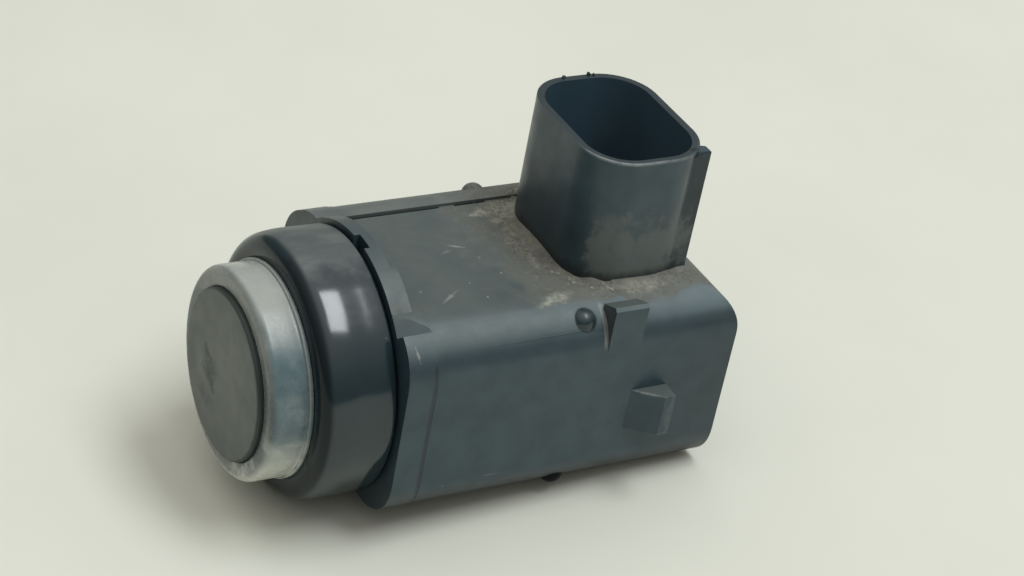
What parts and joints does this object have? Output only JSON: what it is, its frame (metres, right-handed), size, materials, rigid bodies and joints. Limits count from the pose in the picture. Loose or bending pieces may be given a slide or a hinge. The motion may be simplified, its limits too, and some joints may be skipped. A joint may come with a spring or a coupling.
{
  "type": "parking sensor",
  "caption": "Ultrasonic parking sensor with a round membrane in a soft ring, a glossy collar, a dark box body with side latches and an upright plug socket.",
  "frame": {"origin": "on the sound axis, in the plane of the collar's rear edge", "axes": "-Y along the sound axis out of the membrane, +Z the way the socket opens, +X the side with the socket's rib"},
  "size_m": [0.0288, 0.0448, 0.0337],
  "materials": {
    "housing_plastic": "satin dark grey moulding, dusty on top",
    "collar_plastic": "glossy black",
    "soft_ring": "milky silicone",
    "membrane_paint": "matt olive grey",
    "piezo_ceramic": "fired",
    "felt": "felt",
    "plug_rubber": "matt",
    "red_wire": "satin",
    "black_wire": "satin",
    "board": "lacquered",
    "terminal_metal": "tinned",
    "chip_resin": "moulded",
    "ferrite": "matt",
    "copper": "enamelled wire",
    "can_metal": "drawn",
    "block_ceramic": "fired",
    "cover_plastic": "satin dark grey"
  },
  "bodies": {
    "root": {"housing": "housing_plastic", "front_collar": "collar_plastic", "decoupling_ring": "soft_ring", "membrane_pot": "membrane_paint", "piezo_disc": "piezo_ceramic", "damping_pad": "felt", "pot_plug": "plug_rubber", "lead_wire_left": "red_wire", "lead_wire_right": "black_wire", "circuit_board": "board", "terminal_left": "terminal_metal", "terminal_middle": "terminal_metal", "terminal_right": "terminal_metal", "control_chip": "chip_resin", "transformer_core": "ferrite", "transformer_winding": "copper", "storage_capacitor": "can_metal", "filter_capacitors": "block_ceramic", "filter_resistors": "chip_resin", "protection_diode": "chip_resin", "bottom_cover": "cover_plastic"}
  },
  "joints": []
}
